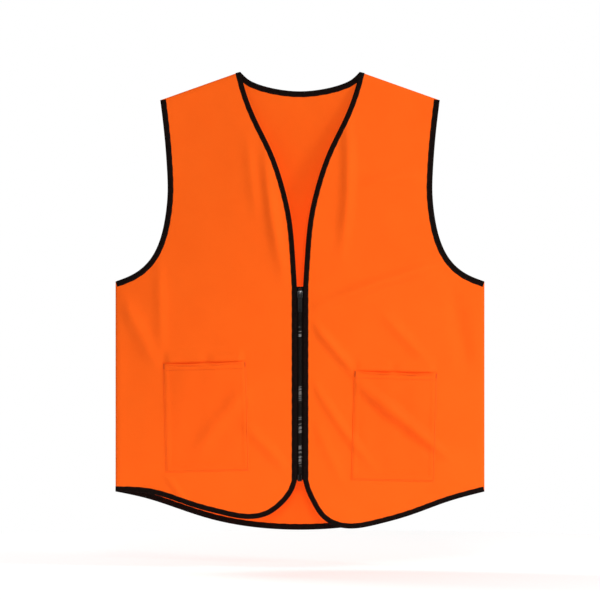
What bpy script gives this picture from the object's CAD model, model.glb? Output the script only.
# %% [markdown]
# # A blaze orange vest
# The vest hangs open at the bottom and the armholes, as on a hanger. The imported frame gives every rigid
# piece and every joint. This lesson dresses it: knit cloth with soft folds, folded edge binding, patch
# pockets, and a nylon coil zipper. Everything is in metres, +Z is up and the front faces -Y.

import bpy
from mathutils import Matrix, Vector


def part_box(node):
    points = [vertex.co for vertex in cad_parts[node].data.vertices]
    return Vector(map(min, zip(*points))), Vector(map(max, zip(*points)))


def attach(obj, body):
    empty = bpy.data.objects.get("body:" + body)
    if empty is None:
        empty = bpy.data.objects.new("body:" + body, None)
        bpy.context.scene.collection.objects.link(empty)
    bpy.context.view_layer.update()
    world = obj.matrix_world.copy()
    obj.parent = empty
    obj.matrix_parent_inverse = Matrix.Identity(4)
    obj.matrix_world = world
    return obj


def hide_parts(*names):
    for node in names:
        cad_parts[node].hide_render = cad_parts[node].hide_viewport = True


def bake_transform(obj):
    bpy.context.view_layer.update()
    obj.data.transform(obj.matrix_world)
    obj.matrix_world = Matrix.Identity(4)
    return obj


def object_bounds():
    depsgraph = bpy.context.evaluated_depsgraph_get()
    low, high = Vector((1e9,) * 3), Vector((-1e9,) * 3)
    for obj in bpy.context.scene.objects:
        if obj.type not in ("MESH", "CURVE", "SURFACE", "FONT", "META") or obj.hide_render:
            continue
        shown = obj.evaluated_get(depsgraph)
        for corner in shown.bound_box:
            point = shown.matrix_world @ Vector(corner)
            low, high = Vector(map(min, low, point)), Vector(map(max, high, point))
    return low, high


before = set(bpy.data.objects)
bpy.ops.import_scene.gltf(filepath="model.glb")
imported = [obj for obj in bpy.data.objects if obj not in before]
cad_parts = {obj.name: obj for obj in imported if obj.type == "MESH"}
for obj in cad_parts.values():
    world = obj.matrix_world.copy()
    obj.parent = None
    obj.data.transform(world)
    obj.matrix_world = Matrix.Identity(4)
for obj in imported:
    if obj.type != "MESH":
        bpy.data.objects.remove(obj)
cad_low, cad_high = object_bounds()

# %% The tools that the lesson uses
from math import pi, radians

import bmesh
import bpy
import numpy as np
from mathutils import Matrix, Vector

RIGHT, LEFT = -1, 1              # the wearer's sides, as signs of x
FRONT, BACK = -1, 1              # as signs of y
SIDES = {"right": RIGHT, "left": LEFT}

# %% [markdown]
# ## The camera, the lights and the floor
# A garment is shown best square on, through a long lens that keeps its edges parallel. One large soft key
# light stands high on the right, so that each fold gets a bright and a dark flank, and a pale world fills
# the rest. The floor is a plain pale sheet below the hanging vest.

# %% Camera square to the front
frame_width = 0.9456             # what the view takes in at the vest's front
front_y, middle_z = -0.010, -0.360
lens, sensor = 250, 36
camera = bpy.data.objects.new("camera", bpy.data.cameras.new("camera"))
camera.data.lens, camera.data.sensor_width = lens, sensor
camera.location = (0, front_y - frame_width * lens / sensor, middle_z)
camera.rotation_euler = (radians(90), 0, 0)
bpy.context.scene.collection.objects.link(camera)
bpy.context.scene.camera = camera
print("camera stands", round(-camera.location.y, 3), "m in front")


# %% Soft lights
def soft_light(name, place, aim, size, power, shadows=True):
    """A square lamp that faces a point."""
    lamp = bpy.data.lights.new(name, "AREA")
    lamp.size, lamp.energy, lamp.use_shadow = size, power, shadows
    light = bpy.data.objects.new(name, lamp)
    light.location = place
    light.rotation_euler = (Vector(aim) - Vector(place)).to_track_quat("-Z", "Y").to_euler()
    bpy.context.scene.collection.objects.link(light)


middle, key_place = (0, 0, middle_z), (3.4, -2.2, 1.7)
soft_light("key", key_place, middle, 0.9, 44)
soft_light("key_bounce", key_place, middle, 0.9, 82, shadows=False)
soft_light("front", (0.2, -4.6, 1.0), middle, 0.9, 50)
soft_light("rear", (-2.6, 2.3, 1.2), middle, 1.2, 60)
print("the key light stands", round((Vector(key_place) - Vector(middle)).length, 2), "m away")

# %% A pale world, and a floor below the vest
scene = bpy.context.scene
scene.view_settings.view_transform = "Standard"
world = bpy.data.worlds.new("studio")
scene.world = world
world.use_nodes = True
tree = world.node_tree
seen = tree.nodes.new("ShaderNodeLightPath")
strength = tree.nodes.new("ShaderNodeMapRange")
strength.inputs["To Min"].default_value = 0.28      # what lights the vest
strength.inputs["To Max"].default_value = 1.0       # what shows behind it
tree.links.new(seen.outputs["Is Camera Ray"], strength.inputs["Value"])
tree.links.new(strength.outputs["Result"], tree.nodes["Background"].inputs["Strength"])
tree.nodes["Background"].inputs["Color"].default_value = (1, 1, 1, 1)

# %% The floor
floor_drop, floor_radius = 0.06, 1.1
floor_mesh = bmesh.new()
bmesh.ops.create_circle(floor_mesh, cap_ends=True, segments=96, radius=floor_radius)
bmesh.ops.translate(floor_mesh, verts=floor_mesh.verts, vec=(0, 0, cad_low.z - floor_drop))
floor_data = bpy.data.meshes.new("floor")
floor_mesh.to_mesh(floor_data)
floor_mesh.free()
floor = bpy.data.objects.new("floor", floor_data)
scene.collection.objects.link(floor)
paint = bpy.data.materials.new("pale_floor")
paint.use_nodes = True
for socket, value in (("Base Color", (0.95, 0.95, 0.945, 1)), ("Roughness", 0.8),
                      ("Emission Color", (1, 1, 1, 1)), ("Emission Strength", 0.30)):
    paint.node_tree.nodes["Principled BSDF"].inputs[socket].default_value = value
floor_data.materials.append(paint)
print("floor at z =", round(cad_low.z - floor_drop, 3))

# %% [markdown]
# ## The pattern pieces
# A vest is cut flat: one back and two fronts. Their outlines are a few points joined by smooth curves, as a
# pattern cutter draws them with a flexible curve. Half of the vest is drawn, and the other is its mirror
# image, apart from the wearer's right front, which hangs a little higher at the hem.

# %% Sizes that the frame gives
cloth = 0.0006                   # thickness of the knit
seam_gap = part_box("side_seam_left")[1].y
half_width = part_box("side_seam_left")[1].x
front_fullness = -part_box("front_panel_left")[0].y - cloth - seam_gap
back_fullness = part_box("back_panel")[1].y - cloth - seam_gap
zipper_top_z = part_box("zipper_tape_left")[1].z
zipper_foot_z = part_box("zipper_tape_left")[0].z - 0.001
back_hem_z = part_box("back_hem_binding")[0].z
front_hem_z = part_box("front_binding_left")[0].z
print("half width", round(half_width, 4), "front stands", round(front_fullness, 4), "proud")

# %% Sizes of the outlines
neck_half_width = 0.094
shoulder_tip = (0.2206, -0.0445)
back_neck_dip = 0.0303
armhole_narrow = (0.2087, -0.187)
underarm = (half_width, -0.3306)
side_foot = (half_width, -0.6624)
edge_gap = 0.0049                # centre line to the bound front edges
front_low_x = 0.079
right_front_lift, lift_start, lift_reach = 0.015, 0.030, 7
binding_width = {"front": 0.0082, "back": 0.0092}     # the fronts' edges, and the armholes and the back's


# %% Curves through a few points
def through(start, end, shares):
    """Points from start to end, each given as its share of the way across and down."""
    across, down = end[0] - start[0], end[1] - start[1]
    return [start] + [(start[0] + a * across, start[1] + d * down) for a, d in shares] + [end]


def smooth_curve(points, count):
    """A smooth curve through the points, as count equal steps along its length."""
    points = np.array(points, float)
    at = np.concatenate([[0], np.cumsum(np.linalg.norm(np.diff(points, axis=0), axis=1))])
    gaps = np.diff(at)
    n = len(points)
    bend_of = np.eye(n)
    rise = np.zeros((n, 2))
    for i in range(1, n - 1):
        bend_of[i, i - 1:i + 2] = gaps[i - 1], 2 * (gaps[i - 1] + gaps[i]), gaps[i]
        rise[i] = 6 * ((points[i + 1] - points[i]) / gaps[i] - (points[i] - points[i - 1]) / gaps[i - 1])
    bend = np.linalg.solve(bend_of, rise)
    fine = np.linspace(0, at[-1], 40 * n)
    k = np.clip(np.searchsorted(at, fine, side="right") - 1, 0, n - 2)
    h, a, b = gaps[k, None], (at[k + 1] - fine)[:, None], (fine - at[k])[:, None]
    line = (bend[k] * a ** 3 + bend[k + 1] * b ** 3) / (6 * h)
    line += (points[k] / h - bend[k] * h / 6) * a + (points[k + 1] / h - bend[k + 1] * h / 6) * b
    return even_steps(line, count)


def even_steps(line, count):
    """The same line as count equal steps."""
    line = np.array(line, float)
    along = np.concatenate([[0], np.cumsum(np.linalg.norm(np.diff(line, axis=0), axis=1))])
    at = np.linspace(0, along[-1], count + 1)
    return np.stack([np.interp(at, along, line[:, i]) for i in range(line.shape[1])], axis=1)


def length_of(line):
    return float(np.linalg.norm(np.diff(line, axis=0), axis=1).sum())


# %% The outlines themselves, as lists of (x, z)
def lifted(points):
    """The right front's hem: raised, but not at the zipper or the side seam."""
    from_zipper = np.clip((points[:, 0] - edge_gap) / lift_start, 0, 1)
    lift = right_front_lift * from_zipper * (1 - (points[:, 0] / half_width) ** lift_reach)
    return points + np.stack([0 * lift, lift], axis=1)


neck_point = (neck_half_width, 0)
zipper_top, zipper_foot = (edge_gap, zipper_top_z), (edge_gap, zipper_foot_z)
front_low, back_low = (front_low_x, front_hem_z), (0, back_hem_z)
neck_shares = [(0.08, 0.08), (0.30, 0.23), (0.55, 0.365), (0.77, 0.53), (0.90, 0.68), (0.965, 0.85)]
armhole_points = through(shoulder_tip, armhole_narrow, [(0.58, 0.41), (0.92, 0.78)])
underarm_shares = [(0.044, 0.29), (0.15, 0.55), (0.35, 0.77), (0.63, 0.91)]
armhole_points += through(armhole_narrow, underarm, underarm_shares)[1:]
hem_points = through(zipper_foot, front_low, [(0.05, 0.18), (0.18, 0.46), (0.38, 0.76), (0.61, 0.92)])
hem_points += through(front_low, side_foot, [(0.21, 0.12), (0.42, 0.33), (0.73, 0.735)])[1:]
back_hem_half = through(back_low, side_foot, [(0.27, 0.08), (0.50, 0.30), (0.667, 0.56), (0.833, 0.82)])
back_neck_half = through((0, -back_neck_dip), neck_point, [(0.43, 0.14), (0.73, 0.40), (0.87, 0.62)])


# %% The same line for the other side, and any edge by its name
def mirrored(line, side):
    return np.array(line, float) * (side, 1)


def whole(half):
    """Points from the centre out, completed with their mirror image."""
    return np.concatenate([mirrored(half, -1)[::-1], np.array(half)[1:]])


def front_curve(name, side, count):
    """One edge of a front, always starting at the end nearer the neck."""
    if name == "neck":
        line = smooth_curve(through(neck_point, zipper_top, neck_shares), count)
    elif name == "zipper":
        line = even_steps([zipper_top, zipper_foot], count)
    elif name == "hem":
        line = smooth_curve(hem_points if side == LEFT else lifted(np.array(hem_points)), count)
    elif name == "armhole":
        line = smooth_curve(armhole_points, count)
    elif name == "side":
        line = even_steps([underarm, side_foot], count)
    elif name == "shoulder":
        line = even_steps([neck_point, shoulder_tip], count)
    return mirrored(line, side)


print("armhole edge", round(length_of(front_curve("armhole", LEFT, 60)), 3), "m each side of the seam")

# %% [markdown]
# ## How the cloth hangs
# Front and back are sewn together along the shoulders and the sides, and stand apart between them. The
# depth is the frame's formula, and the folds are added to it: soft ridges along lines, where the knit is
# pulled from the shoulder, the underarm and the zipper. They die out at the seams and at the zipper. A cloth
# simulation makes folds too, but puts them where it likes, and these have their places.


# %% Depth of the plain surface
shoulder_slope = -shoulder_tip[1] / (shoulder_tip[0] - neck_half_width)
neck_rounding, chest_drop = 0.010, 0.330


def depth(x, z, fullness):
    """Distance from the mid plane to the inner face of the cloth."""
    beyond = abs(x) - neck_half_width
    shoulder_drop = shoulder_slope * (beyond + np.sqrt(beyond ** 2 + neck_rounding ** 2)) / 2
    across = 1 - (x / half_width) ** 2
    down = np.minimum(1, (-z - shoulder_drop) / chest_drop)
    return seam_gap + fullness * across * np.sin(pi / 2 * down)


def ease(value, low, high):
    """Rises smoothly from 0 at low to 1 at high."""
    share = np.clip((value - low) / (high - low), 0, 1)
    return share * share * (3 - 2 * share)


# %% Folds: start, end, half width, height, bow to the left of the way along
front_folds = [
    ((-0.056, -0.120), (-0.025, -0.325), 0.0100, 0.0036, -0.004),
    ((-0.084, -0.100), (-0.068, -0.235), 0.0100, 0.0015, 0),
    ((-0.286, -0.350), (-0.222, -0.470), 0.0120, 0.0024, 0),
    ((-0.223, -0.290), (-0.218, -0.450), 0.0090, 0.0016, 0),
    ((-0.165, -0.605), (-0.074, -0.490), 0.0120, 0.0024, 0.004),
    ((-0.092, -0.550), (-0.018, -0.628), 0.0090, 0.0022, 0),
    ((-0.212, -0.636), (-0.176, -0.682), 0.0050, 0.0016, 0),
    ((0.073, -0.060), (0.064, -0.295), 0.0098, 0.0034, 0.007),
    ((0.088, -0.184), (0.200, -0.164), 0.0110, 0.0022, 0.006),
    ((0.022, -0.372), (0.235, -0.300), 0.0095, 0.0036, 0.004),
    ((0.016, -0.392), (0.096, -0.486), 0.0075, 0.0032, 0),
    ((0.092, -0.492), (0.232, -0.606), 0.0085, 0.0062, 0),
    ((0.016, -0.480), (0.120, -0.628), 0.0075, 0.0027, -0.005),
    ((0.126, -0.378), (0.206, -0.462), 0.0095, 0.0022, 0),
    ((0.238, -0.340), (0.266, -0.480), 0.0140, -0.0024, 0),
    ((0.020, -0.545), (0.070, -0.655), 0.0085, 0.0014, 0),
]
back_folds = [
    ((-0.150, -0.060), (-0.105, -0.420), 0.0160, 0.0034, 0.008),
    ((0.140, -0.055), (0.118, -0.380), 0.0150, 0.0030, -0.008),
    ((0.025, -0.150), (-0.035, -0.600), 0.0180, 0.0030, 0.010),
    ((-0.255, -0.345), (-0.100, -0.520), 0.0120, 0.0036, 0.006),
    ((0.250, -0.350), (0.120, -0.500), 0.0120, 0.0034, -0.006),
    ((0.225, -0.460), (0.060, -0.660), 0.0130, 0.0030, 0),
    ((-0.235, -0.500), (-0.150, -0.690), 0.0130, 0.0026, 0),
]


# %% The folds' height, and how they fade in and out
fold_strength = 1.7


def folded(folds, x, z):
    """Height of the folds at points of the cloth."""
    height = np.zeros_like(x)
    for start, end, width, rise, bow in folds:
        run = np.subtract(end, start)
        length = np.hypot(*run)
        along = ((x - start[0]) * run[0] + (z - start[1]) * run[1]) / length ** 2
        off = ((z - start[1]) * run[0] - (x - start[0]) * run[1]) / length
        inside = np.clip(along, 0, 1)
        off = off - bow * 4 * inside * (1 - inside)
        fade = ease(along, -0.12, 0.35) * (1 - ease(along, 0.65, 1.12))
        height += fold_strength * rise * fade * np.exp(-(off / width) ** 2)
    return height


# %% The cloth over a pocket's mouth, which bellies out and drops back behind the mouth
pocket_width, pocket_height = 0.131, 0.172
pocket_middle = (0.148, -0.5586)
pocket_tilt = radians(1.6)
mouth_belly = 0.0038
pocket_lift = {RIGHT: right_front_lift * (1 - (pocket_middle[0] / half_width) ** lift_reach), LEFT: 0}


def over_mouths(x, z):
    """Height of the cloth's belly over both pocket mouths."""
    height = np.zeros_like(x)
    for side in (RIGHT, LEFT):
        out, up = side * x - pocket_middle[0], z - pocket_middle[1] - pocket_lift[side]
        across = (out * np.cos(pocket_tilt) - up * np.sin(pocket_tilt)) / (pocket_width / 2)
        above = out * np.sin(pocket_tilt) + up * np.cos(pocket_tilt) - pocket_height / 2
        belly = 1 - 0.5 * np.exp(-((across + 0.05) / 0.12) ** 2)
        over = ease(above, -0.0040, 0.0012) * (1 - ease(above, 0.002, 0.026))
        height += mouth_belly * belly * over * (1 - ease(abs(across), 0.82, 1.0))
    return height


# %% The slight unevenness that every knit has
waves = np.random.default_rng(11).uniform(-1, 1, (10, 3))


def uneven(x, z, shift):
    """Low waves in many directions, a fraction of a millimetre high."""
    height = np.zeros_like(x)
    for k, (a, b, c) in enumerate(waves):
        reach = 0.018 + 0.008 * k
        height += 0.00006 * (1 + k / 4) * np.sin((a * x + b * z) / reach * pi + 3 * c + shift)
    return height


# %% Where the cloth lies calm
def calm(x, z, fronts):
    """1 on free cloth, 0 at the seams and beside the zipper."""
    shoulder_drop = -z - 0.35 * np.maximum(0, abs(x) - neck_half_width)
    free = ease(shoulder_drop, 0.004, 0.040) * (1 - ease(abs(x), half_width - 0.022, half_width - 0.002))
    if fronts:
        beside_zipper = (1 - ease(abs(x), 0.013, 0.030)) * (1 - ease(z, zipper_top_z, zipper_top_z + 0.05))
        free = free * (1 - beside_zipper)
    return free


# %% The two faces, and points on or off them
def front_face(x, z):
    """Y of the middle of the front cloth."""
    lumps = (folded(front_folds, x, z) + uneven(x, z, 0)) * calm(x, z, True) + over_mouths(x, z)
    return -(depth(x, z, front_fullness) + cloth / 2 + lumps)


def back_face(x, z):
    """Y of the middle of the back cloth."""
    lumps = (folded(back_folds, x, z) + uneven(x, z, 2)) * calm(x, z, False)
    return depth(x, z, back_fullness) + cloth / 2 + lumps


# %% Where front and back come together
binding_room = 0.0009            # half the thickness that two bindings share at a seam's end
seam_reach = 0.007               # how far from a seam the cloth starts to come in


def drawn_in(face, x, z):
    """How far everything sewn comes in at the side and shoulder seams, where front and back meet."""
    from_shoulder = -z - shoulder_slope * np.maximum(0, abs(x) - neck_half_width)
    near = 1 - ease(np.minimum(from_shoulder, half_width - abs(x)), 0, seam_reach)
    return (BACK if face is front_face else FRONT) * near * (seam_gap - binding_room)


def on_cloth(face, x, z, out):
    """Points at a distance from the middle of the cloth, outwards where it is positive."""
    step = 0.0004
    side = FRONT if face is front_face else BACK
    slope_x = (face(x + step, z) - face(x - step, z)) / (2 * step)
    slope_z = (face(x, z + step) - face(x, z - step)) / (2 * step)
    outward = side * np.stack([-slope_x, np.ones_like(x), -slope_z], axis=-1)
    outward /= np.linalg.norm(outward, axis=-1, keepdims=True)
    return np.stack([x, face(x, z) + drawn_in(face, x, z), z], axis=-1) + outward * np.asarray(out)[..., None]


print("front at the chest stands at y =", round(float(front_face(np.array(0.1), np.array(-0.4))), 4))

# %% [markdown]
# ## The knit and the other finishes
# Warp knit shows fine upright ribs, each a chain of V-shaped loops. The pattern follows the cloth's own UV
# map, which is in metres, so the loops keep their real size where a front swings open. The shape of the
# loops only tilts the surface, through a Bump node, and the colour is nearly even, as fluorescent dye is.
# An image of knit could be laid on instead, but a pattern made of nodes stays sharp from near and far.


# %% Helpers for a finish
def finish_of(name, colour, roughness, **sockets):
    """A finish of one colour. The other values go straight on the shader's own sockets."""
    made = bpy.data.materials.new(name)
    made.use_nodes = True
    shader = made.node_tree.nodes["Principled BSDF"]
    shader.inputs["Base Color"].default_value = (*colour, 1)
    shader.inputs["Roughness"].default_value = roughness
    for socket, value in sockets.items():
        shader.inputs[socket.replace("_", " ")].default_value = value
    return made


def calc(made, operation, a, b=0.0):
    """A sum in a finish's nodes."""
    new = made.node_tree.nodes.new("ShaderNodeMath")
    new.operation = operation
    for socket, value in zip(new.inputs, (a, b)):
        if isinstance(value, bpy.types.NodeSocket):
            made.node_tree.links.new(value, socket)
        else:
            socket.default_value = value
    return new.outputs[0]


def across_and_along(made, source):
    """The first two coordinates, and the whole coordinate."""
    spot = made.node_tree.nodes.new("ShaderNodeTexCoord").outputs[source]
    split = made.node_tree.nodes.new("ShaderNodeSeparateXYZ")
    made.node_tree.links.new(spot, split.inputs[0])
    return split.outputs[0], split.outputs[1], spot


def cloudy(made, spot, size, detail=3.0):
    """Soft random patches of a given size, in metres."""
    noise = made.node_tree.nodes.new("ShaderNodeTexNoise")
    noise.inputs["Scale"].default_value = 1 / size
    noise.inputs["Detail"].default_value = detail
    made.node_tree.links.new(spot, noise.inputs["Vector"])
    return noise.outputs["Fac"]


def two_tone(made, share, low, high, start=0.35, stop=0.65):
    """Colours the finish from low to high by a value of 0 to 1."""
    ramp = made.node_tree.nodes.new("ShaderNodeValToRGB")
    for element, place, colour in zip(ramp.color_ramp.elements, (start, stop), (low, high)):
        element.position, element.color = place, (*colour, 1)
    made.node_tree.links.new(share, ramp.inputs[0])
    made.node_tree.links.new(ramp.outputs[0], made.node_tree.nodes["Principled BSDF"].inputs["Base Color"])


def emboss(made, height, tall):
    """Raises the surface by a pattern of 0 to 1, so many metres tall."""
    bump = made.node_tree.nodes.new("ShaderNodeBump")
    bump.inputs["Distance"].default_value = tall
    made.node_tree.links.new(height, bump.inputs["Height"])
    made.node_tree.links.new(bump.outputs[0], made.node_tree.nodes["Principled BSDF"].inputs["Normal"])


# %% Knit: ribs of V-shaped loops
def knit(name, low, high, rib=0.0011, loop=0.0009, tall=0.00016):
    """Upright ribs of V-shaped loops under a little fuzz."""
    made = finish_of(name, high, 0.82, Sheen_Weight=0.03, Sheen_Roughness=0.5, Specular_IOR_Level=0.10,
                     Emission_Color=(1, 0.12, 0.008, 1), Emission_Strength=0.09)
    x, y, spot = across_and_along(made, "UV")
    zigzag = calc(made, "PINGPONG", x, rib / 2)
    chain = calc(made, "SINE", calc(made, "MULTIPLY", calc(made, "ADD", y, zigzag), 2 * pi / loop))
    ribs = calc(made, "SINE", calc(made, "MULTIPLY", x, 2 * pi / rib))
    loops = calc(made, "ADD", calc(made, "MULTIPLY", ribs, 0.32), calc(made, "MULTIPLY", chain, 0.18))
    fuzz = calc(made, "MULTIPLY", cloudy(made, spot, 0.0005), 0.4)
    emboss(made, calc(made, "ADD", calc(made, "ADD", loops, 0.5), fuzz), tall)
    two_tone(made, cloudy(made, spot, 0.06), low, high)
    return made


orange_knit = knit("orange_knit", (0.960, 0.118, 0.0052), (0.975, 0.123, 0.0058))
pocket_knit = knit("pocket_knit", (0.955, 0.112, 0.0048), (0.970, 0.117, 0.0054))
allowance_knit = knit("allowance_knit", (0.86, 0.100, 0.006), (0.93, 0.118, 0.008))


# %% Woven tapes: ribs across the edge binding, herringbone on the zipper tape
def woven(name, low, high, across, along, tall, lean=0.0):
    """Ribs crossed by picks, which slant to and fro where they lean."""
    made = finish_of(name, high, 0.78, Specular_IOR_Level=0.06)
    x, y, spot = across_and_along(made, "UV")
    slant = calc(made, "MULTIPLY", calc(made, "PINGPONG", y, 0.004), lean)
    ribs = calc(made, "SINE", calc(made, "MULTIPLY", calc(made, "ADD", x, slant), 2 * pi / across))
    picks = calc(made, "SINE", calc(made, "MULTIPLY", y, 2 * pi / along))
    weave = calc(made, "ADD", calc(made, "MULTIPLY", ribs, 0.35), calc(made, "MULTIPLY", picks, 0.15))
    emboss(made, calc(made, "ADD", weave, 0.5), tall)
    two_tone(made, cloudy(made, spot, 0.004), low, high)
    return made


binding_braid = woven("binding_braid", (0.0036, 0.0014, 0.0010), (0.0090, 0.0034, 0.0022),
                      across=0.0011, along=0.0008, tall=0.00018)
tape_weave = woven("tape_weave", (0.0030, 0.0016, 0.0010), (0.0070, 0.0034, 0.0024),
                   across=0.0012, along=0.0007, tall=0.00014, lean=0.8)


# %% Thread, nylon, moulded plastic and enamelled metal
def speckled(name, low, high, roughness, size, tall, **sockets):
    """A smooth finish with fine random specks."""
    made = finish_of(name, high, roughness, **sockets)
    spot = across_and_along(made, "Object")[2]
    share = cloudy(made, spot, size)
    two_tone(made, share, low, high)
    emboss(made, share, tall)
    return made


black_thread = speckled("black_thread", (0.0040, 0.0020, 0.0015), (0.012, 0.006, 0.0045),
                        0.6, 0.0004, 0.00005, Specular_IOR_Level=0.2)
orange_thread = speckled("orange_thread", (0.36, 0.022, 0.0015), (0.52, 0.036, 0.0025),
                         0.6, 0.0004, 0.00005, Specular_IOR_Level=0.2)
nylon = speckled("nylon", (0.003, 0.0024, 0.002), (0.006, 0.0048, 0.004), 0.45, 0.002, 0.00001,
                 Specular_IOR_Level=0.2)
polished_nylon = speckled("polished_nylon", (0.16, 0.15, 0.14), (0.34, 0.32, 0.30), 0.16, 0.0006, 0.00001,
                          Specular_IOR_Level=1.0, Coat_Weight=1.0, Coat_Roughness=0.08)
moulded = speckled("moulded", (0.003, 0.0024, 0.002), (0.006, 0.005, 0.004), 0.5, 0.0005, 0.00002,
                   Specular_IOR_Level=0.2)
enamel = speckled("enamel", (0.006, 0.005, 0.005), (0.011, 0.010, 0.009), 0.26, 0.0015, 0.00001,
                  Coat_Weight=0.7, Coat_Roughness=0.12)
worn_metal = speckled("worn_metal", (0.002, 0.0018, 0.0015), (0.005, 0.0045, 0.004), 0.5, 0.0025, 0.00002,
                      Specular_IOR_Level=0.2)
print(len(bpy.data.materials), "finishes so far")

# %% [markdown]
# ## From a bmesh to a piece that rides
# A piece that belongs to one body simply rides on it. The fronts are cloth that crosses a joint: each swings
# open about a crease, beside which the cloth must bend. So every soft piece of a front is blended: it follows
# the back before the crease, the front a few centimetres past it, and turns smoothly in between.


def wear(name, mesh, finish, body, stands_for=(), crisp=None):
    """Makes a piece of the mesh and lets it ride on a body, or bend at a front's crease."""
    data = bpy.data.meshes.new(name)
    mesh.to_mesh(data)
    mesh.free()
    data.shade_smooth()
    if crisp:
        data.set_sharp_from_angle(angle=radians(crisp))
    data.materials.append(finish)
    piece = bpy.data.objects.new(name, data)
    scene.collection.objects.link(piece)
    if body in SIDES:
        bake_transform(piece)
    else:
        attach(piece, body)
    if stands_for:
        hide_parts(*stands_for)
    print(name, len(data.polygons), "faces")
    return piece


def ply(piece, thickness):
    """Gives a sheet its thickness, half to each side."""
    solid = piece.modifiers.new("ply", "SOLIDIFY")
    solid.thickness, solid.offset = thickness, 0


# %% [markdown]
# ## The panels
# A panel could be one filled outline, but such a face has no corners inside that folds could move. So it
# starts as a plain grid, whose corners are then moved between four edge lines. The rows run from edge to
# edge and the outline is exact. The back goes over both shoulders in one piece. A small Solidify modifier
# gives the knit its thickness.


# %% A grid laid between four edge lines
def spanned(left, right, top, bottom):
    """Spreads shares (u, v) between the edge lines. Left and right run down, top and bottom to the right."""
    def at(line, share):
        steps = np.linspace(0, 1, len(line))
        return np.stack([np.interp(share, steps, line[:, i]) for i in (0, 1)], axis=-1)

    def spread(u, v):
        a, b = u[:, None], v[:, None]
        sides = (1 - a) * at(left, v) + a * at(right, v)
        ends = (1 - b) * at(top, u) + b * at(bottom, u)
        corners = (1 - b) * ((1 - a) * top[0] + a * top[-1]) + b * ((1 - a) * bottom[0] + a * bottom[-1])
        return sides + ends - corners
    return spread


# %% The grid itself
def laid_grid(columns, rows, lay):
    """A grid moved to lay(u, v), which gives each corner's place and its spot on the cloth in metres."""
    mesh = bmesh.new()
    bmesh.ops.create_grid(mesh, x_segments=columns, y_segments=rows, size=0.5)
    shares = np.array([corner.co[:2] for corner in mesh.verts]) + 0.5
    u, v = np.rint(shares[:, 0] * columns) / columns, np.rint(shares[:, 1] * rows) / rows
    places, spots = lay(u, v)
    chart = mesh.loops.layers.uv.new("cloth")
    for corner, place in zip(mesh.verts, places.tolist()):
        corner.co = place
    spots = spots.tolist()
    mesh.verts.index_update()
    for face in mesh.faces:
        for loop in face.loops:
            loop[chart].uv = spots[loop.vert.index]
    return mesh


# %% Which way an open sheet faces
def face_towards(mesh, direction):
    """Turns an open sheet over where it faces the wrong way."""
    mesh.normal_update()
    if sum((face.normal * face.calc_area() for face in mesh.faces), Vector()).dot(Vector(direction)) < 0:
        bmesh.ops.reverse_faces(mesh, faces=mesh.faces)


# %% A little inside the finished edge, where it is bound
tuck = 0.0012                    # from the finished edge to the cloth's, inside the binding


def inwards(line, hand):
    """Unit steps from an edge line into the cloth, which lies on its left (1) or right (-1)."""
    run = np.gradient(line, axis=0)
    run /= np.linalg.norm(run, axis=1)[:, None]
    return hand * np.stack([-run[:, 1], run[:, 0]], axis=1)


def tucked(line, hand):
    """The cloth's own edge, but kept on the side seam where it ends there."""
    inner = line + tuck * inwards(line, hand)
    at_seam = abs(abs(line[:, 0]) - half_width) < 1e-5
    inner[at_seam, 0] = line[at_seam, 0]
    return inner


# %% A front's four edge lines
cells = {"neck": 130, "zipper": 138, "corner": 24, "hem": 92, "shoulder": 92}


def front_outline(side):
    """Left, right, top and bottom lines of a front, from the zipper outwards."""
    hem = front_curve("hem", side, cells["corner"] + cells["hem"])
    corner, foot = hem[:cells["corner"] + 1], hem[cells["corner"]:]
    edge = np.concatenate([front_curve("neck", side, cells["neck"])[:-1],
                           front_curve("zipper", side, cells["zipper"])[:-1], corner])
    inner = tucked(edge, side)
    outer_count = cells["zipper"] + cells["corner"]
    armhole = tucked(front_curve("armhole", side, cells["neck"]), -side)
    seam_foot = tucked(foot, side)[-1]
    outer = np.concatenate([armhole[:-1], even_steps([armhole[-1], seam_foot], outer_count)])
    bottom = tucked(hem, side)[cells["corner"]:]
    inner[-1] = bottom[0]
    return inner, outer, even_steps([inner[0], outer[0]], cells["shoulder"]), bottom


# %% How the seams close
short, clear = 0.007, 0.016      # next to a binding the two cloths stay apart
touch_gap = 0.0001


def between_ends(at, low, high):
    """1 between a seam's two ends, 0 beside them."""
    return ease(at, low + short, low + clear) * (1 - ease(at, high - clear, high - short))


def closed_seams(face, x, z):
    """How much further the cloth itself comes in between the bindings, until front and back touch."""
    on_shoulder = between_ends(abs(x), neck_half_width, shoulder_tip[0])
    on_side = between_ends(z, side_foot[1], underarm[1])
    between = np.where(half_width - abs(x) < seam_reach, on_side, on_shoulder)
    return drawn_in(face, x, z) / (seam_gap - binding_room) * between * (binding_room - touch_gap)


def cloth_lay(face, spread):
    """Lays a panel's grid on a face, with its flat place as its spot on the cloth."""
    def lay(u, v):
        flat = spread(u, v)
        x, z = flat[:, 0], flat[:, 1]
        places = on_cloth(face, x, z, 0)
        places[:, 1] += closed_seams(face, x, z)
        return places, flat
    return lay


# %% The two fronts
front_rows = cells["neck"] + cells["zipper"] + cells["corner"]
fronts = {}
for side_name, side in SIDES.items():
    spread = spanned(*front_outline(side))
    mesh = laid_grid(cells["hem"], front_rows, cloth_lay(front_face, spread))
    face_towards(mesh, (0, FRONT, 0))
    fronts[side_name] = wear("front_cloth_" + side_name, mesh, orange_knit, side_name,
                             ["front_panel_" + side_name, "front_side_" + side_name])
    ply(fronts[side_name], cloth)

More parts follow.
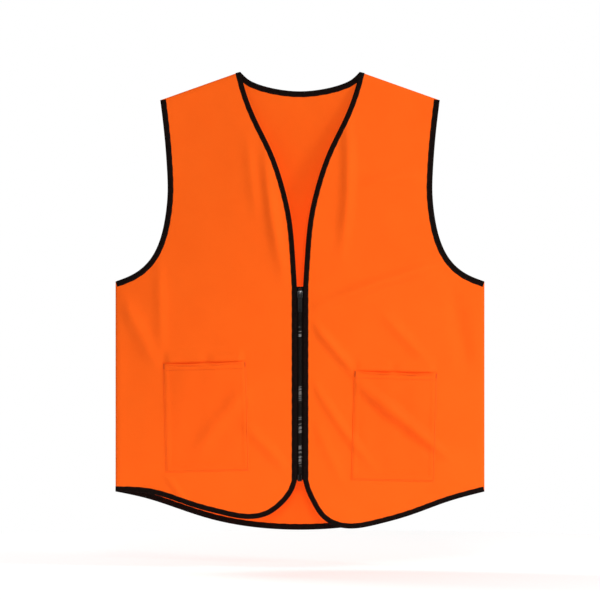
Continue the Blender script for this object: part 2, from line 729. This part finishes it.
# %% The back, from shoulder to shoulder
back_columns, back_rows = {"shoulder": 44, "neck": 60}, {"armhole": 88, "side": 92}
left_tip = front_curve("armhole", LEFT, back_rows["armhole"])
back_right = tucked(left_tip, -1)
back_neck = tucked(smooth_curve(whole(back_neck_half), back_columns["neck"]), -1)
back_hem = tucked(smooth_curve(whole(back_hem_half), 2 * back_columns["shoulder"] + back_columns["neck"]), 1)
back_side = np.concatenate([back_right[:-1], even_steps([back_right[-1], back_hem[-1]], back_rows["side"])])
shoulder = even_steps([back_neck[-1], back_side[0]], back_columns["shoulder"])
top = np.concatenate([mirrored(shoulder, -1)[::-1], back_neck[1:-1], shoulder])
spread = spanned(mirrored(back_side, -1), back_side, top, back_hem)
mesh = laid_grid(len(top) - 1, len(back_side) - 1, cloth_lay(back_face, spread))
face_towards(mesh, (0, BACK, 0))
back_cloth = wear("back_cloth", mesh, orange_knit, "back", ["back_panel"])
ply(back_cloth, cloth)

# %% [markdown]
# ## The edge binding
# Every raw edge is wrapped in a folded braid, sewn through near its inner edge. It could be a curve with a
# bevel, but a folded band is flat with soft rounded folds. So its cross-section is written out once, as
# distances in from the edge and out from the cloth, and a grid carries it along the edge line.

# %% The folded cross-section: shares of the width in from the edge, and millimetres out from the cloth
outer_half = [(0.99, 0.32), (1.0, 0.62), (0.97, 0.92), (0.90, 0.98), (0.82, 0.86), (0.73, 1.02),
              (0.54, 1.15), (0.30, 1.12), (0.13, 1.02), (0.04, 0.72), (0, 0)]
inner_half = [(0.5, -0.32), (0.11, -0.32), (0.085, 0), (0.11, 0.32), (0.5, 0.32)]
fold_section = outer_half + [(d, -h) for d, h in outer_half[-2::-1]] + inner_half + outer_half[:1]
fold_section = np.array(fold_section)
millimetre = 0.001
print("the binding's section has", len(fold_section) - 1, "sides")


def bind(line, hand, face, width, phase=0.0):
    """A folded band along a finished edge line."""
    into, section = inwards(line, hand), fold_section * (width, millimetre)
    steps, around = len(line) - 1, len(section) - 1
    girth = np.concatenate([[0], np.cumsum(np.linalg.norm(np.diff(section, axis=0), axis=1))])
    run = length_of(line)

    def lay(u, v):
        i, j = np.rint(u * steps).astype(int), np.rint(v * around).astype(int)
        inset, out = section[j, 0], section[j, 1]
        ripple = np.sin(u * run / 0.0130 * 2 * pi + phase) * np.sin(u * run / 0.031 * 2 * pi + 2 * phase)
        swell = 1 + 0.06 * ripple * (abs(out) > 0.0005)
        inset = inset * (1 + 0.02 * np.sin(u * run / 0.017 * 2 * pi + phase))
        flat = line[i] + into[i] * inset[:, None]
        return on_cloth(face, flat[:, 0], flat[:, 1], out * swell), np.stack([u * run, girth[j]], axis=1)

    mesh = laid_grid(steps, around, lay)
    bmesh.ops.remove_doubles(mesh, verts=mesh.verts, dist=1e-6)
    bmesh.ops.holes_fill(mesh, edges=[edge for edge in mesh.edges if edge.is_boundary], sides=0)
    bmesh.ops.recalc_face_normals(mesh, faces=mesh.faces)
    return mesh


# %% Join meshes that make one piece
def joined(meshes):
    """Several bmeshes as one."""
    whole_mesh = meshes[0]
    for extra in meshes[1:]:
        data = bpy.data.meshes.new("part")
        extra.to_mesh(data)
        extra.free()
        whole_mesh.from_mesh(data)
        bpy.data.meshes.remove(data)
    return whole_mesh


# %% [markdown]
# ## Stitches
# A row of lockstitch is a row of short rounded threads that dip into the cloth at both ends. There are
# thousands, so each is a small sphere of two dozen faces, drawn out between its two needle holes.


# %% Where a row's stitches begin and end
def sew(line, hand, face, inset, out, pitch=0.0030, gap=0.06):
    """The two ends of each stitch, in a row at a distance in from an edge line."""
    flat = line + inwards(line, hand) * inset
    holes = even_steps(flat, max(2, round(length_of(flat) / pitch)))
    places = on_cloth(face, holes[:, 0], holes[:, 1], out)
    step = np.diff(places, axis=0) * gap
    return places[:-1] + step, places[1:] - step


# %% The ball
one_ball = bmesh.new()
bmesh.ops.create_uvsphere(one_ball, u_segments=6, v_segments=4, radius=1)
ball = np.array([corner.co for corner in one_ball.verts])
ball_data = bpy.data.meshes.new("ball")
one_ball.to_mesh(ball_data)
one_ball.free()


# %% Balls drawn out into threads
def threads(rows, thick=0.0005):
    """A bmesh with one drawn-out ball for each pair of needle holes."""
    starts, ends = (np.concatenate([row[k] for row in rows]) for k in (0, 1))
    mesh = bmesh.new()
    for _ in starts:
        mesh.from_mesh(ball_data)
    along = ends - starts
    length = np.linalg.norm(along, axis=1)[:, None]
    along /= length
    aside = np.cross(along, (0.3, 1, 0.2))
    aside /= np.linalg.norm(aside, axis=1)[:, None]
    third = np.cross(along, aside)
    shape = np.stack([aside * thick / 2, third * thick / 2, along * length / 2], axis=1)
    places = (starts + ends)[:, None, :] / 2 + np.einsum("bk,nkc->nbc", ball, shape)
    for corner, place in zip(mesh.verts, places.reshape(-1, 3).tolist()):
        corner.co = place
    return mesh


stitch_inset = {where: 0.82 * width for where, width in binding_width.items()}
stitch_out = 0.00092             # from the middle of the cloth to the middle of a stitch


# %% Bind the fronts: neck, zipper edge and hem in one run
def front_edge(side, pitch=0.0026):
    """A front's bound edge, from the neck point to the side seam."""
    parts = [front_curve(name, side, round(length_of(front_curve(name, side, 50)) / pitch))
             for name in ("neck", "zipper", "hem")]
    return np.concatenate([parts[0][:-1], parts[1][:-1], parts[2]])


for side_name, side in SIDES.items():
    line = front_edge(side)
    wear("edge_binding_" + side_name, bind(line, side, front_face, binding_width["front"], side),
         binding_braid, side_name, ["front_binding_" + side_name, "side_hem_binding_" + side_name])
    rows = [sew(line, side, front_face, stitch_inset["front"], out) for out in (stitch_out, -stitch_out)]
    wear("edge_stitching_" + side_name, threads(rows), black_thread, side_name)

# %% Bind the back's neck and hem
hem_line = smooth_curve(whole(back_hem_half), 230)
neck_line = smooth_curve(whole(back_neck_half), 80)
for name, line, hand, node in (("back_hem", hem_line, 1, "back_hem_binding"),
                               ("back_neck", neck_line, -1, "back_neck_binding")):
    wear(name + "_edge", bind(line, hand, back_face, binding_width["back"], hand),
         binding_braid, "back", [node])
    rows = [sew(line, hand, back_face, stitch_inset["back"], out) for out in (stitch_out, -stitch_out)]
    wear(name + "_stitching", threads(rows), black_thread, "back")

# %% Bind the armholes, front and back in one loop
for side_name, side in SIDES.items():
    line = front_curve("armhole", side, 128)
    halves = [bind(line, -side, face, binding_width["back"], side) for face in (front_face, back_face)]
    wear("armhole_edge_" + side_name, joined(halves),
         binding_braid, "back", ["armhole_binding_" + side_name])
    rows = [sew(line, -side, face, stitch_inset["back"], out)
            for face in (front_face, back_face) for out in (stitch_out, -stitch_out)]
    wear("armhole_stitching_" + side_name, threads(rows), black_thread, "back")

# %% [markdown]
# ## The patch pockets
# A patch pocket is one piece of the same knit. Its top is turned in and stitched down as a hem. The raw
# edges of its sides and foot are turned under, and it is sewn on close to the edge. A flat patch with a
# bumpy finish would do from afar, but it throws no shadow. So the grid itself rises into a low rounded rim
# with the stitches sunk in it, and the mouth gapes a little.

# %% Sizes of a pocket
mouth_hem, pocket_gape = 0.014, 0.0034


def pocket_spot(side, p, q):
    """A point of the front: p outwards and q upwards from the pocket's middle."""
    x = pocket_middle[0] + p * np.cos(pocket_tilt) + q * np.sin(pocket_tilt)
    z = pocket_middle[1] + pocket_lift[side] - p * np.sin(pocket_tilt) + q * np.cos(pocket_tilt)
    return side * x, z


def pocket_stand(p, q):
    """How far the middle of the pocket's cloth stands off the middle of the front's."""
    from_side = pocket_width / 2 - abs(p)
    from_foot = q + pocket_height / 2
    near = np.minimum(from_side, from_foot)
    rim = [0, 0.0003, 0.0008, 0.0014, 0.0020, 0.0027, 0.0040, 0.0065, 0.0080, 0.0095, 0.014]
    stand = [0.00055, 0.00110, 0.00145, 0.00142, 0.00112, 0.00142, 0.00155, 0.00150, 0.00135, 0.00095,
             0.00085]
    across, up = p / (pocket_width / 2), np.clip(from_foot / pocket_height, 0, 1)
    gape = np.maximum(0, 1 - across ** 4) * (1 - (1 - up) ** 3)
    slack = 0.0007 * np.sin(5.5 * across + 2.2) * np.sin(3.3 * up + 4 * across) * gape
    return np.interp(near, rim, stand) + pocket_gape * gape * ease(up, 0.25, 1) + slack


# %% A pocket's cloth
rim_steps = [0, 0.0003, 0.0008, 0.0014, 0.0020, 0.0027, 0.0040, 0.0060, 0.0078, 0.0095, 0.0115]


def stations(low, high, step, fine_low=True, fine_high=True):
    """Where the grid's lines run: close together in a turned rim, even elsewhere."""
    start = [low + rim for rim in rim_steps] if fine_low else [low]
    end = [high - rim for rim in rim_steps[::-1]] if fine_high else [high]
    count = round((end[0] - start[-1]) / step)
    return np.array(start + list(np.linspace(start[-1], end[0], count + 1))[1:-1] + end)


# %% The cloth itself, turned in at the mouth
pocket_step = 0.0032
turned_in = [(-0.0135, 0), (-0.0125, 0), (-0.0117, -0.00016), (-0.0109, 0), (-0.008, 0.0001),
             (-0.004, 0.0001), (-0.0012, 0), (-0.0004, -0.00008), (0, -0.00025), (0.0001, -0.00045),
             (0, -0.00065), (-0.0004, -0.00084), (-0.0012, -0.0009), (-0.004, -0.0009), (-0.008, -0.0009),
             (-0.0109, -0.0009), (-0.0135, -0.0009)]    # up from the mouth, and out from the cloth


def pocket_cloth(side):
    """A pocket's grid, over its rims and round the fold at its mouth."""
    across = stations(-pocket_width / 2, pocket_width / 2, pocket_step)
    top = pocket_height / 2
    up = stations(-top, top - mouth_hem - 0.002, pocket_step, fine_high=False)
    height = np.concatenate([up, [top + rise for rise, _ in turned_in]])
    sink = np.concatenate([0 * up, [out for _, out in turned_in]])
    girth = np.concatenate([[0], np.cumsum(np.hypot(np.diff(height), np.diff(sink)))])

    def lay(u, v):
        i = np.rint(u * (len(across) - 1)).astype(int)
        j = np.rint(v * (len(height) - 1)).astype(int)
        x, z = pocket_spot(side, across[i], height[j])
        folded_in = sink[j] * ease(pocket_width / 2 - abs(across[i]), 0, 0.002)
        out = pocket_stand(across[i], height[j]) + folded_in
        return on_cloth(front_face, x, z, out), np.stack([across[i], girth[j]], axis=1)

    return laid_grid(len(across) - 1, len(height) - 1, lay)


# %% A pocket's stitches
def pocket_rows(side):
    """Stitches round the sides and foot, and along the mouth's hem."""
    edge, deep = 0.0020, mouth_hem - 0.0023
    w, h = pocket_width / 2 - edge, pocket_height / 2
    runs = [((-w, h - 0.0005), (-w, edge - h)), ((-w, edge - h), (w, edge - h)),
            ((w, edge - h), (w, h - 0.0005)), ((edge - w, h - deep), (w - edge, h - deep))]
    rows = []
    for start, end in runs:
        pq = even_steps([start, end], round(np.hypot(*np.subtract(end, start)) / 0.0028))
        x, z = pocket_spot(side, pq[:, 0], pq[:, 1])
        places = on_cloth(front_face, x, z, pocket_stand(pq[:, 0], pq[:, 1]) + 0.00033)
        step = np.diff(places, axis=0) * 0.07
        rows.append((places[:-1] + step, places[1:] - step))
    return rows


# %% Bar tacks: a dense zigzag at each end of the mouth
tack_length, tack_pitch = 0.0085, 0.00045


def tack_rows(side):
    """The zigzag at both ends of a pocket's mouth."""
    rows = []
    for end in (-1, 1):
        q = pocket_height / 2 - 0.0012 - np.arange(0, tack_length, tack_pitch)
        p = np.full_like(q, end * (pocket_width / 2 - 0.0017))
        wide = 0.0009 * np.where(np.arange(len(q)) % 2, 1, -1)
        x, z = pocket_spot(side, p + wide, q)
        places = on_cloth(front_face, x, z, pocket_stand(p, q) + 0.0005)
        rows.append((places[:-1], places[1:]))
    return rows


# %% Make both pockets
pockets = {}
for side_name, side in SIDES.items():
    mesh = pocket_cloth(side)
    face_towards(mesh, (0, FRONT, 0))
    pockets[side_name] = wear("patch_pocket_" + side_name, mesh, pocket_knit, side_name,
                              ["pocket_" + side_name])
    ply(pockets[side_name], cloth)
    wear("pocket_stitching_" + side_name, threads(pocket_rows(side), 0.00042),
         orange_thread, side_name)
    wear("mouth_tacks_" + side_name, threads(tack_rows(side), 0.00045),
         orange_thread, side_name, ["pocket_tacks_" + side_name])

# %% [markdown]
# ## The zipper
# A coil zipper is a nylon thread wound into a spiral and sewn to each tape. Seen from the front it is a row
# of short bars whose rounded heads interlock. A swept spiral curve would be truer behind the bars, where
# nobody looks, and far heavier. So the bars are drawn-out balls like the stitches, a little thicker. The
# tapes are flat woven strips behind the bound edges.

# %% The tapes
coil_pitch = 0.0015
tape_gap = 0.00005               # from the centre line to each tape


def box_of(node):
    """A node's lowest and highest corners, to count with."""
    low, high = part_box(node)
    return np.array(low), np.array(high)


tapes = {}
for side_name, side in SIDES.items():
    low, high = box_of("zipper_tape_" + side_name)
    inner_edge = 0 if side == LEFT else 1
    (low, high)[inner_edge][0] = side * tape_gap
    middle, tape_thick = (low + high) / 2, high[1] - low[1]
    mesh = bmesh.new()
    bmesh.ops.create_grid(mesh, x_segments=8, y_segments=152, size=0.5)
    chart = mesh.loops.layers.uv.new("cloth")
    turn = Matrix.Rotation(radians(90), 4, "X")
    size = Matrix.Diagonal((*(high - low)[[0, 2]], 1, 1))
    bmesh.ops.transform(mesh, verts=mesh.verts, matrix=Matrix.Translation(middle) @ turn @ size)
    for face in mesh.faces:
        for loop in face.loops:
            loop[chart].uv = loop.vert.co.x, loop.vert.co.z
    for corner in mesh.verts:
        corner.co.y += 0.00008 * np.sin(corner.co.z / 0.011 * 2 * pi) * (abs(corner.co.x) > 0.012)
    face_towards(mesh, (0, FRONT, 0))
    tapes[side_name] = wear("zip_tape_" + side_name, mesh, tape_weave, "front_" + side_name,
                            ["zipper_tape_" + side_name])
    ply(tapes[side_name], tape_thick * 0.9)

# %% The coils: bars with heads that reach past the middle, and the thread that holds them
rubbed_drops = [(0.402, 0.419), (0.496, 0.518), (0.543, 0.569), (0.589, 0.621)]     # rubbed bright
polished_share = 0.65
chance = np.random.default_rng(5).random(97)
tooth_thick, head_reach = 0.00106, 0.00120

for side_name, side in SIDES.items():
    low, high = box_of("zipper_coil_" + side_name)
    outer = max(abs(low[0]), abs(high[0]))
    y = (low[1] + high[1]) / 2
    z = np.arange(high[2] - 0.0008, low[2] + 0.0004, -coil_pitch) + (side == LEFT) * coil_pitch / 2
    z = z[z < high[2] - 0.0003]
    even = np.ones_like(z)
    back_bend = (side * outer * even, y * even, z + 0.00012)
    head = (-side * head_reach * even, y * even, z - 0.00012)
    bars = threads([(np.stack(back_bend, axis=1), np.stack(head, axis=1))], tooth_thick)
    for corner in bars.verts:
        corner.co.y = y + (corner.co.y - y) * (high[1] - low[1]) / tooth_thick * 0.97
    for face in bars.faces:
        drop = -face.calc_center_median().z
        tooth = round(drop / coil_pitch)
        rubbed = any(start < drop < end for start, end in rubbed_drops)
        face.material_index = int(rubbed and chance[tooth % len(chance)] < polished_share)
    coil = wear("coil_" + side_name, bars, nylon, "front_" + side_name,
                ["zipper_coil_" + side_name])
    coil.data.materials.append(polished_nylon)
    rows = []
    for inset in (0.0011, 0.0021):
        x, front = side * (outer - inset) * even, (low[1] - 0.00004) * even
        rows.append([np.stack([x, front, z + drop], axis=1) for drop in (-0.0001, 0.0001 - coil_pitch)])
    wear("coil_thread_" + side_name, threads(rows, 0.00030), black_thread, "front_" + side_name)

# %% The seam that holds each tape, seen from inside
seam_from_centre = 0.0125
for side_name, side in SIDES.items():
    x, back = side * seam_from_centre, box_of("zipper_tape_" + side_name)[1][1] + 0.0001
    places = even_steps([(x, back, zipper_top_z - 0.001), (x, back, zipper_foot_z + 0.002)], 100)
    step = np.diff(places, axis=0) * 0.06
    wear("tape_seam_" + side_name, threads([(places[:-1] + step, places[1:] - step)], 0.00045),
         black_thread, "front_" + side_name)

# %% [markdown]
# ## The slider, its pull tab, the stops, the box and the pin
# The frame already has these small parts to size, with sharp edges. On the real ones every edge is rounded
# by casting or moulding, and that is what catches the light. So each is a copy of its frame part, welded
# into one skin, with its flat faces joined up again and then its edges bevelled.


# %% Round a frame part's edges
def softened(node, width, angle=25):
    """A copy of a frame part with rounded edges."""
    mesh = bmesh.new()
    mesh.from_mesh(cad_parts[node].data)
    bmesh.ops.remove_doubles(mesh, verts=mesh.verts, dist=2e-6)
    bmesh.ops.dissolve_limit(mesh, angle_limit=radians(1), verts=mesh.verts, edges=mesh.edges)
    sharp = [edge for edge in mesh.edges if edge.is_manifold and edge.calc_face_angle() > radians(angle)]
    bmesh.ops.bevel(mesh, geom=sharp, offset=width, segments=3, profile=0.5, affect="EDGES", material=-1,
                    clamp_overlap=True)
    bmesh.ops.triangulate(mesh, faces=[face for face in mesh.faces if len(face.verts) > 4])
    print(node, len(sharp), "edges rounded")
    return mesh


# %% The small parts
for name, node, width, finish, slot, body in (
        ("slider_body", "zipper_slider", 0.00018, enamel, "slider_metal", "slider"),
        ("pull_tab", "zipper_pull", 0.00025, worn_metal, "slider_metal", "pull"),
        ("box_end", "zipper_box", 0.00030, moulded, "zipper_plastic", "front_right"),
        ("pin_end", "zipper_pin", 0.00030, moulded, "zipper_plastic", "front_left"),
        ("top_stop_right", "zipper_stop_right", 0.00030, worn_metal, "zipper_plastic", "front_right"),
        ("top_stop_left", "zipper_stop_left", 0.00030, worn_metal, "zipper_plastic", "front_left")):
    wear(name, softened(node, width), finish, body, [node], crisp=40)

# %% [markdown]
# ## Inside: the seam allowances
# Inside the vest the side and shoulder seams show as narrow double strips, with an overlock stitch over
# their raw edges. They lie against the back. They could be left out, as little of them shows, but an opened
# front would then look unfinished. Each strip is a long narrow grid, with a thickness of its own.


# %% Strips along the seams, and their overlock
seam_steps = 80
allowance_start, allowance_width = 0.0009, 0.0078
layer_gap, overlock_gap = 0.00066, 0.0019          # from the back's cloth inwards


def seam_line(name, side):
    """A sewn seam, short of the bindings at its ends."""
    line = front_curve(name, side, 90)
    return even_steps(line[3:-3], seam_steps)


def behind(flat, gap):
    """Points so far inside the back's cloth."""
    return np.stack([flat[:, 0], back_face(flat[:, 0], flat[:, 1]) - gap, flat[:, 1]], axis=1)


for side_name, side in SIDES.items():
    for name in ("side", "shoulder"):
        line = seam_line(name, side)
        into = inwards(line, -side)
        meshes, rows = [], []
        for layer in (0, 1):
            def lay(u, v, layer=layer):
                i = np.rint(u * seam_steps).astype(int)
                reach = allowance_start + v * (allowance_width - 0.0006 * layer)
                flat = line[i] + into[i] * reach[:, None]
                curl = 0.0002 * np.sin(u * 37 + 2 * layer) * v
                places = behind(flat, layer_gap * (layer + 1) + curl)
                places[:, 1] += drawn_in(back_face, flat[:, 0], flat[:, 1]) * 0.6
                return places, np.stack([u * length_of(line), v * 0.008], axis=1)
            meshes.append(laid_grid(seam_steps, 6, lay))
            face_towards(meshes[-1], (0, FRONT, 0))
        strip = wear(name + "_allowance_" + side_name, joined(meshes),
                     allowance_knit, "back", [name + "_seam_" + side_name])
        ply(strip, cloth * 0.9)
        edge = line + into * 0.0086
        swing = np.where(np.arange(len(edge)) % 2, -0.0016, 0.00016)
        zig = behind(edge + into * swing[:, None], overlock_gap)
        rail = behind(even_steps(line + into * 0.0068, 110), overlock_gap)
        loops = threads([(zig[:-1], zig[1:]), (rail[:-1], rail[1:])], 0.00035)
        wear(name + "_overlock_" + side_name, loops, orange_thread, "back")
